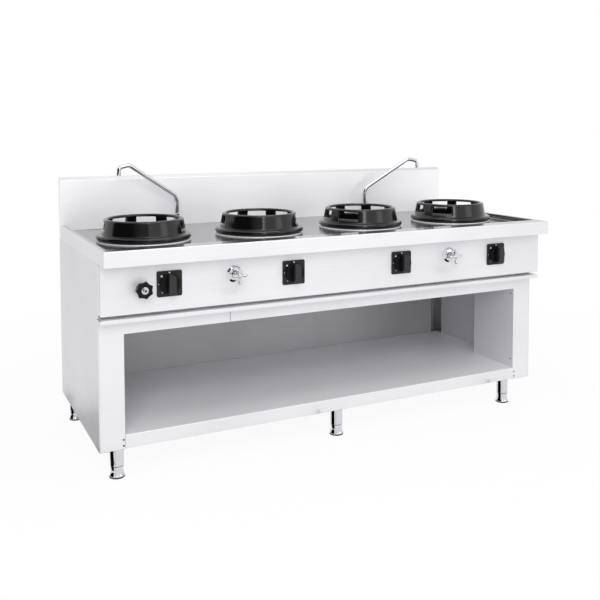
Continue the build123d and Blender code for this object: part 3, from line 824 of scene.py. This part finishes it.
# Knobs: a moulded plate with printed marks, a rimmed disc and a tall grip
knob = {
    "z": 710, "plateHalf": 47, "plateCorner": 6, "plateDepth": 6, "plateEdge": 1.4,
    "discBack": -376.3,
    "disc": [(0, 0), (36.5, 0), (37.5, 1), (37.5, 14.2), (37, 15.4), (35.9, 16), (34.5, 16), (33.1, 14.8),
             (0, 14.8)],  # its face lies a little below its rim
    "spindle": [(0, -20), (5, -20), (5, 0.5), (0, 0.5)],
    "gripFoot": 14.3, "gripHalfWidth": 13, "gripHalfHeight": 37, "gripCorner": 12, "gripDepth": 27.7,
    "gripEdge": 3,
    "marks": [(0, 40.5, 2.9), (-30, 29, 3.3), (-41, 1, 1.6), (-28, -30.5, 1.6)],  # off, high, middle, low
    "markDepth": 0.15, "leastCorner": 0.3,
}


def roundedBlock(bm, turn, halfX, halfY, corner, depth, edge, steps):
    # a block on the local XY plane, with rounded upright corners and a rounded front edge
    loops = []
    for inset, z in [(0, 0)] + [(edge * (1 - math.cos(t)), depth - edge + edge * math.sin(t))
                                for t in quarter(steps)]:
        x, y = halfX - inset, halfY - inset
        outline = [(-x, -y, z), (x, -y, z), (x, y, z), (-x, y, z)]
        outline = roundPath(outline, max(corner - inset, knob["leastCorner"]), 5, closed=True)
        loops.append([bm.verts.new(turn @ p) for p in outline])
    for a, b in zip(loops, loops[1:]):
        bridge(bm, a, b)
    bm.faces.new(list(reversed(loops[0])))
    bm.faces.new(loops[-1])


def makeKnobPlates(k):
    plates, ink = bmesh.new(), bmesh.new()
    for x in ringX:
        roundedBlock(plates, place(x, panelFront, k["z"], facingFront), k["plateHalf"], k["plateHalf"],
                     k["plateCorner"], k["plateDepth"], k["plateEdge"], steps=3)
        front = panelFront - k["plateDepth"]
        for across, up, radius in k["marks"]:
            lathe(ink, [(0, 0), (radius, 0), (radius, k["markDepth"]), (0, k["markDepth"])],
                  place(x + across, front, k["z"] + up, facingFront), count=20)
    makePiece("knobPlates", plates, plateResin, "cabinet", ("knob_plates",))
    makePiece("knobPlateMarks", ink, printInk, "cabinet", ("knob_plates",))


def makeKnob(number, k):
    bm = bmesh.new()
    at = place(ringX[number - 1], k["discBack"], k["z"], facingFront)
    lathe(bm, k["disc"], at, count=96)
    disc = set(bm.faces)
    lathe(bm, k["spindle"], at, count=24)
    roundedBlock(bm, at @ place(0, 0, k["gripFoot"]), k["gripHalfWidth"], k["gripHalfHeight"],
                 k["gripCorner"], k["gripDepth"], k["gripEdge"], steps=4)
    for face in set(bm.faces) - disc:
        face.material_index = 1
    node = "knob_%d" % number
    makePiece("knob%d" % number, bm, [pressedPhenolic, knobResin], node, (node,))


# Star handwheel of the pilot valve, with its bright hub nut
handwheel = {
    "x": -853, "z": 701, "back": -404, "phase": 180,
    "points": 7, "valley": 0.17, "bluntness": 0.8, "starFrom": 14,  # the star's shape, and where it starts
    "star": [(0, 1.5), (11, 1.5), (15, 0), (30.5, 0), (32.1, 1.2), (32.5, 2), (32.5, 14), (32.1, 14.8),
             (30.5, 16), (20, 16), (13, 14.5), (0, 14.5)],
    "spindle": [(0, -32), (4, -32), (4, 2), (0, 2)],
    "skirt": [(13, -30), (19, -30), (21, -28), (21, -13), (16, 0.5), (13, 0.5)],  # round the valve's bonnet
    "nut": [(4.2, 14), (13, 14), (13, 17.6), (12.4, 18), (9, 18), (9, 23.6), (7.8, 25), (5, 25), (4.2, 24.2)],
    "stem": [(0, 14), (4.4, 14), (4.4, 17), (0, 17)],  # the spindle's end, seen in the nut
}


def makeHandwheel(w):
    at = place(w["x"], w["back"], w["z"], facingFront @ Matrix.Rotation(math.radians(w["phase"]), 4, "Z"))

    def starReach(a, r):
        lobe = abs(math.sin(w["points"] * a / 2)) ** w["bluntness"]
        return 1 if r < w["starFrom"] else 1 - w["valley"] * lobe

    bm = bmesh.new()
    lathe(bm, w["star"], at, count=16 * w["points"], reach=starReach)
    lathe(bm, w["spindle"], at, count=24)
    lathe(bm, w["skirt"], at, count=64)
    makePiece("handwheelStar", bm, pressedPhenolic, "handwheel", ("handwheel",))
    bm = bmesh.new()
    lathe(bm, w["nut"], at, count=32)
    lathe(bm, w["stem"], at, count=24)
    makePiece("handwheelNut", bm, chrome, "handwheel", ("handwheel",))


for knobNumber in range(1, len(ringX) + 1):
    makeKnob(knobNumber, knob)
makeKnobPlates(knob)
makeHandwheel(handwheel)
print("knobs and handwheel moulded")

# Taps: escutcheon, turned bonnet, and a cross handle with ball-ended arms
tap = {
    "z": 724,
    "escutcheon": [(13.3, 0), (32, 0), (32, 2), (24, 6), (13.3, 8)],
    "escutcheonRounding": [0, 0.8, 0.8, 5, 0.8],
    "bonnet": [(0, 2), (12, 2), (12, 12), (11.5, 13), (9.4, 16), (9.4, 24), (10.4, 25), (10.4, 29), (9.4, 30),
               (8.5, 33), (8.5, 41), (7.6, 42), (0, 42)],
    "spindle": [(0, 40), (3, 40), (3, 44), (0, 44)],
    "hub": [(0, 42.5), (7.6, 42.5), (9, 44), (9, 52), (8, 54.6), (5, 56.2), (0, 56.5)],
    "arm": [(0, -32), (3.6, -31), (6, -28), (6.5, -25), (6, -22.4), (5, -20.4), (4.5, -14), (4.6, -6),
            (4.8, 0), (4.6, 6), (4.5, 14), (5, 20.4), (6, 22.4), (6.5, 25), (6, 28), (3.6, 31), (0, 32)],
    "armFront": 49.5,
}


def makeTaps(t):
    spots = {name: place(side * outletX, panelFront, t["z"], facingFront) for name, side in sides.items()}
    bm = bmesh.new()
    for at in spots.values():
        lathe(bm, rounded(t["escutcheon"], t["escutcheonRounding"], 4), at, count=64)
    makePiece("tapEscutcheons", bm, chrome, "cabinet", ("tap_escutcheons",))
    for name, at in spots.items():
        bm = bmesh.new()
        lathe(bm, t["bonnet"], at, count=48)
        makePiece(name + "TapBonnet", bm, chrome, "cabinet", ("tap_valve_" + name,))
        bm = bmesh.new()
        lathe(bm, t["spindle"], at, count=24)
        lathe(bm, t["hub"], at, count=48)
        middle = at @ place(0, 0, t["armFront"])
        for axis in "XY":
            lathe(bm, t["arm"], middle @ Matrix.Rotation(math.radians(90), 4, axis), count=24)
        makePiece(name + "TapHandle", bm, chrome, "tap_handle_" + name, ("tap_handle_" + name,))


# Spouts: a turret in the pan, a swivel nut and one bent tube
spout = {
    "y": 336, "radius": 9.5, "bore": 8, "turn": 12.4,  # the arm's angle in plan, in degrees
    "footZ": 844.3, "kneeZ": 963, "reach": 235, "rise": 148.9, "bends": (40, 30, 14),
    "nose": 50, "noseBack": 3, "noseDrop": 10, "tipZ": 1067,
    "nut": [(9, 872.3), (13.2, 872.3), (14, 873.1), (14, 884.4), (12.6, 885.7), (9, 886)], "flatsFrom": 12.5,
    "turret": [(9.8, 844), (9.8, 871), (10.6, 872), (14.2, 872), (15, 871.2), (15, 835), (17, 833.6),
               (23, 833), (24, 832), (24, 828.2), (12, 828), (12, 812), (0, 812), (0, 844)],
}


def spoutPath(side, s):
    # riser, sloping arm and a short down-turned nose
    turn = math.radians(s["turn"])
    apex = s["kneeZ"] + s["rise"]
    points = []
    for out, z in ((0, s["footZ"]), (0, s["kneeZ"]), (s["reach"], apex),
                   (s["reach"] + s["nose"] - s["noseBack"], apex - s["noseDrop"]),
                   (s["reach"] + s["nose"], s["tipZ"])):
        points.append((side * (outletX + out * math.cos(turn)), s["y"] - out * math.sin(turn), z))
    return roundPath(points, [0, *s["bends"], 0], 12)


def makeSpouts(s):
    def hexReach(a, r):
        # six flats on the nut's outside only
        flat = math.cos(math.pi / 6) / math.cos((a % (math.pi / 3)) - math.pi / 6)
        return flat if r > s["flatsFrom"] else 1

    for name, side in sides.items():
        foot = place(side * outletX, s["y"], 0)
        bm = bmesh.new()
        lathe(bm, s["turret"], foot, count=64)
        makePiece(name + "SpoutTurret", bm, chrome, "cabinet", ("spout_turret_" + name,))
        bm = bmesh.new()
        tube(bm, spoutPath(side, s), s["radius"], s["bore"], count=32)
        lathe(bm, s["nut"], foot, count=48, reach=hexReach)
        makePiece(name + "Spout", bm, chrome, "spout_" + name, ("spout_" + name,))


makeTaps(tap)
makeSpouts(spout)
print("taps and spouts turned")

# Legs: plain chrome tubes and bell-shaped screw feet, each on a thin rubber ring
leg = {
    "places": [(-932, -295), (-16, -295), (864, -295), (-955, 365), (-16, 365), (955, 365)],
    "tube": [(23.5, 44.8), (25.1, 44.8), (25.5, 45.2), (25.5, 107), (23.5, 107)],
    "foot": [(0, 5), (27.8, 5), (28.2, 5.8), (28, 7.6), (26.4, 11.5), (25, 15), (24, 19), (23.5, 24),
             (23.5, 41.9), (22.7, 42.7), (8, 42.7), (8, 90), (0, 90)],
    "ring": [(0, 0), (27.9, 0), (28.6, 0.8), (28.6, 4.3), (28, 5), (0, 5)],
    "shadeSeal": [(8, 42.7), (24.4, 42.7), (24.4, 44.6), (8, 44.6)],  # a dark rubber ring: painted shade for the dark line between foot and tube
}


def makeLegs(g):
    spots = [place(x, y, 0) for x, y in g["places"]]
    bm = bmesh.new()
    for at in spots:
        lathe(bm, g["tube"], at, count=64)
    makePiece("legTubes", bm, chrome, "cabinet", ("leg_tubes",))
    for number, at in enumerate(spots, 1):
        node = "foot_%d" % number
        bm = bmesh.new()
        lathe(bm, g["foot"], at, count=64)
        makePiece("foot%d" % number, bm, chrome, node, (node,))
        bm = bmesh.new()
        lathe(bm, g["ring"], at, count=64)
        lathe(bm, g["shadeSeal"], at, count=64)
        makePiece("foot%dRing" % number, bm, footRubber, node, (node,))


# Small button-head screws with a round socket
screw = {
    "head": [(0, 0), (3.5, 0), (3.5, 0.6), (2.87, 1.44), (1.925, 1.9), (1.3, 2), (1.3, 0.9), (0, 0.9)],
    "front": [(988, -320, 600), (988, -320, 606), (912, -320, 119), (912, -320, 141)],  # ledge, shelf joint
    "inner": [(905, -300, 197), (905, -300, 505)],  # in the opening's cheeks
}


def makeScrews(s):
    bm = bmesh.new()
    for side in sides.values():
        turnedIn = Matrix.Rotation(math.radians(-90 * side), 4, "Y")
        for spots, turn in ((s["front"], facingFront), (s["inner"], turnedIn)):
            for x, y, z in spots:
                lathe(bm, s["head"], place(side * x, y, z, turn), count=24)
    makePiece("panelScrews", bm, blackScrew, "cabinet", ("panel_screws",))


makeLegs(leg)
makeScrews(screw)
print("legs and screws placed")

# Parts whose imported shape is right keep it, and get the finish they are made in; the inner sheets, drain
# parts, strainer and rear posts get the greyer steels, painted shade
keptNodes = {
    innerShadedSteel: ("back_panel", "chamber_floor", "drain_trough", "drain_pipe"),
    panShadedSteel: ("drain_strainer", "rear_posts"),
    bareIron: ("burner_1", "burner_2", "burner_3", "burner_4"),
    primedPipe: ("gas_manifold",),
    machinedBrass: ("gas_valves", "pilot_valve"),
    drawnCopper: ("burner_feed_pipes", "spout_pipes", "water_supply"),
}
for nodeSkin, nodeNames in keptNodes.items():
    for nodeName in nodeNames:
        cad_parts[nodeName].data.materials[0] = nodeSkin


def stageCard(name, low, high, material):
    # level between two corners of one height, or upright over the line between them
    (x0, y0, z0), (x1, y1, z1) = low, high
    corners = [(x0, y0, z0), (x1, y0, z0), (x1, y1, z0), (x0, y1, z0)]
    if z1 > z0:
        corners = [(x0, y0, z0), (x1, y1, z0), (x1, y1, z1), (x0, y0, z1)]
    mesh = bpy.data.meshes.new(name)
    mesh.from_pydata([Vector(c) * mm for c in corners], [], [range(len(corners))])
    mesh.materials.append(material)
    return addObject(name, mesh)


# Floor: one pale seamless sweep of painted board that keeps the range's soft shadow.
floor = {
    "dark": "#F4F4F5", "light": "#FAFAFB", "grain": 4, "reach": 20000,
    "white": 0.92,  # share of plain white that the camera and the metal see; the rest keeps the shadow
    "fade": (1300, 3000),  # where the fade into the white background starts and ends
}


def makeFloor(f):
    material, tree, skin = newMaterial("paintedFloor", {"Roughness": 0.9})
    where = addNode(tree, "TexCoord").outputs["Object"]
    mottle = addNode(tree, "TexNoise", {"Scale": 1 / (f["grain"] * mm)}, {"Vector": where})
    colour = addNode(tree, "Mix", {"data_type": "RGBA", 6: toLinear(f["dark"]), 7: toLinear(f["light"])},
                     {0: mottle.outputs["Fac"]})
    tree.links.new(colour.outputs[2], skin.inputs["Base Color"])
    away = addNode(tree, "VectorMath", {"operation": "LENGTH"}, {0: where})
    fade = addNode(tree, "MapRange", {1: f["fade"][0] * mm, 2: f["fade"][1] * mm, 3: f["white"], 4: 1.0},
                   {0: away.outputs["Value"]})
    share = addNode(tree, "Math", {"operation": "MULTIPLY"}, {0: rayMask(tree), 1: fade.outputs[0]})
    white = addNode(tree, "Emission", {"Color": toLinear("#FFFFFF"), "Strength": 1.0})
    mix = addNode(tree, "MixShader", None, {0: share.outputs[0], 1: skin.outputs[0], 2: white.outputs[0]})
    addNode(tree, "OutputMaterial", None, {"Surface": mix.outputs[0]}).is_active_output = True
    sweep = stageCard("studioFloor", (-f["reach"], -f["reach"], 0), (f["reach"], f["reach"], 0), material)


# Flags: cards that only reflections see, to give the bright metal and the enamel their dark edges
flags = {
    "frontFlag": ((-2600, -900, 950), (-900, -3000, 2600), "#030303"),
    "leftFlag": ((-2600, 500, 950), (-2600, -900, 2600), "#030303"),
    "tapFlagLeft": ((-530, -470, 640), (-450, -400, 640), "#030303"),
    "tapFlagRight": ((462, -470, 640), (542, -400, 640), "#030303"),
    "sideFlag": ((-1050, -400, 3), (-1500, 450, 3), "#8A8A8C"),
}
legFlags = {  # measured from each leg's middle
    "legFlag": ((-90, -50, 1), (-90, 60, 120), "#030303"),
    "legLine": ((-62, -77, 1), (-58, -81, 120), "#5A5A5C"),
}


def hangFlag(name, low, high, shade, foot=(0, 0)):
    values = {"Roughness": 1.0, "Specular IOR Level": 0.0, "Base Color": toLinear(shade)}
    low, high = ((foot[0] + x, foot[1] + y, z) for x, y, z in (low, high))
    card = stageCard(name, low, high, newMaterial(name, values)[0])
    for ray in ("camera", "diffuse", "transmission", "shadow"):
        setattr(card, "visible_" + ray, False)


makeFloor(floor)
for flagName, flagValues in flags.items():
    hangFlag(flagName, *flagValues)
for legPlace in leg["places"]:
    for flagName, flagValues in legFlags.items():
        hangFlag(flagName, *flagValues, legPlace)
print("floor laid and flags hung")
